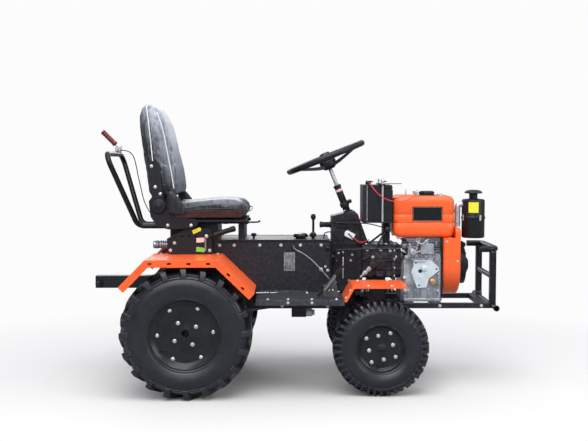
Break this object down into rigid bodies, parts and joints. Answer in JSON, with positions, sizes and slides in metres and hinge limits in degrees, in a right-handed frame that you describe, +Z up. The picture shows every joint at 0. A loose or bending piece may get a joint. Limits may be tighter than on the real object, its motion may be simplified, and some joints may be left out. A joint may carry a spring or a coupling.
{
  "type": "compact tractor",
  "caption": "Compact two-axle garden tractor with open air-cooled engine ahead, driver over the rear axle, steered front wheels and a rear drawbar.",
  "frame": {"origin": "on the ground, midway along and across the machine", "axes": "+X forward, +Y to the driver's left, +Z up"},
  "size_m": [1.9752, 0.946, 1.372],
  "materials": {
    "orange_paint": "bright orange gloss paint",
    "black_paint": "satin black paint",
    "grey_board": "grey-blue painted sheet",
    "tyre_rubber": "black rubber",
    "seat_vinyl": "dark grey vinyl",
    "red_grip": "dark red rubber",
    "bare_steel": "bare steel",
    "black_plastic": "black plastic",
    "engine_aluminium": "cast aluminium",
    "grey_steel": "grey steel",
    "rim_black": "black gloss paint on the rims",
    "bright_fittings": "bright fuel and oil fittings",
    "cable_black": "black cable sheath",
    "cable_red": "red cable sheath"
  },
  "bodies": {
    "chassis": {"air_cleaner": "black_plastic", "battery": "black_plastic", "battery_carrier": "black_paint", "battery_lead": "cable_red", "body_box": "black_paint", "control_levers": "black_plastic", "drive_shaft": "bare_steel", "engine_block": "engine_aluminium", "engine_fittings": "bright_fittings", "fan_shroud": "orange_paint", "foot_pedals": "grey_steel", "footboard_left": "grey_board", "footboard_right": "grey_board", "frame_crossmembers": "black_paint", "frame_rail_left": "black_paint", "frame_rail_right": "black_paint", "front_axle": "black_paint", "front_fender_left": "orange_paint", "front_fender_right": "orange_paint", "front_guard": "black_paint", "fuel_tank": "orange_paint", "gearbox": "black_paint", "handle_cable": "cable_black", "handle_grip": "red_grip", "hitch_beam": "black_paint", "hydraulic_pump": "black_paint", "lift_quadrant": "black_paint", "muffler": "black_paint", "rear_axle": "black_paint", "rear_fender_left": "orange_paint", "rear_fender_right": "orange_paint", "rear_handle": "black_paint", "recoil_starter": "black_paint", "seat_back": "seat_vinyl", "seat_bolsters": "seat_vinyl", "seat_cushion": "seat_vinyl", "seat_frame": "black_paint", "seat_pedestal": "black_paint", "side_cable": "cable_black", "steering_pillar": "black_paint", "tank_cap": "black_plastic"},
    "rear_wheel_right": {"rear_tyre_right": "tyre_rubber", "rear_rim_right": "rim_black"},
    "rear_wheel_left": {"rear_tyre_left": "tyre_rubber", "rear_rim_left": "rim_black"},
    "knuckle_right": {"knuckle_right": "black_paint"},
    "knuckle_left": {"knuckle_left": "black_paint"},
    "front_wheel_right": {"front_tyre_right": "tyre_rubber", "front_rim_right": "rim_black"},
    "front_wheel_left": {"front_tyre_left": "tyre_rubber", "front_rim_left": "rim_black"},
    "tie_rod": {"tie_rod": "bare_steel"},
    "pitman_arm": {"pitman_arm": "black_paint"},
    "steering_wheel": {"steering_wheel": "black_plastic", "steering_shaft": "bare_steel"}
  },
  "joints": [
    {"name": "rear_wheel_right_spin", "type": "hinge", "parent": "chassis", "child": "rear_wheel_right", "pos_m": [-0.5, -0.3905, 0.305], "axis": [0, 1, 0], "continuous": true},
    {"name": "rear_wheel_left_spin", "type": "hinge", "parent": "chassis", "child": "rear_wheel_left", "pos_m": [-0.5, 0.3905, 0.305], "axis": [0, 1, 0], "continuous": true},
    {"name": "steer_left", "type": "hinge", "parent": "chassis", "child": "knuckle_left", "pos_m": [0.4, 0.25, 0.225], "axis": [0, 0, 1], "range_deg": [-30, 30]},
    {"name": "steer_right", "type": "hinge", "parent": "chassis", "child": "knuckle_right", "pos_m": [0.4, -0.25, 0.225], "axis": [0, 0, 1], "range_deg": [-30, 30]},
    {"name": "front_wheel_right_spin", "type": "hinge", "parent": "knuckle_right", "child": "front_wheel_right", "pos_m": [0.4, -0.338, 0.225], "axis": [0, 1, 0], "continuous": true},
    {"name": "front_wheel_left_spin", "type": "hinge", "parent": "knuckle_left", "child": "front_wheel_left", "pos_m": [0.4, 0.338, 0.225], "axis": [0, 1, 0], "continuous": true},
    {"name": "tie_rod_swing", "type": "hinge", "parent": "knuckle_left", "child": "tie_rod", "pos_m": [0.29, 0.25, 0.363], "axis": [0, 0, 1], "range_deg": [-30, 30]},
    {"name": "pitman_turn", "type": "hinge", "parent": "chassis", "child": "pitman_arm", "pos_m": [0.34, 0.095, 0.344], "axis": [0, 0, 1], "range_deg": [-30, 30]},
    {"name": "steering_wheel_turn", "type": "hinge", "parent": "chassis", "child": "steering_wheel", "pos_m": [0.155, 0, 1.108], "axis": [-0.3746, 0, 0.9272], "range_deg": [-390, 390]}
  ],
  "couplings": [
    {"joint": "steer_right", "follows": "steer_left", "ratio": 1},
    {"joint": "tie_rod_swing", "follows": "steer_left", "ratio": -1},
    {"joint": "pitman_turn", "follows": "steer_left", "ratio": 1},
    {"joint": "steering_wheel_turn", "follows": "steer_left", "ratio": 13}
  ]
}
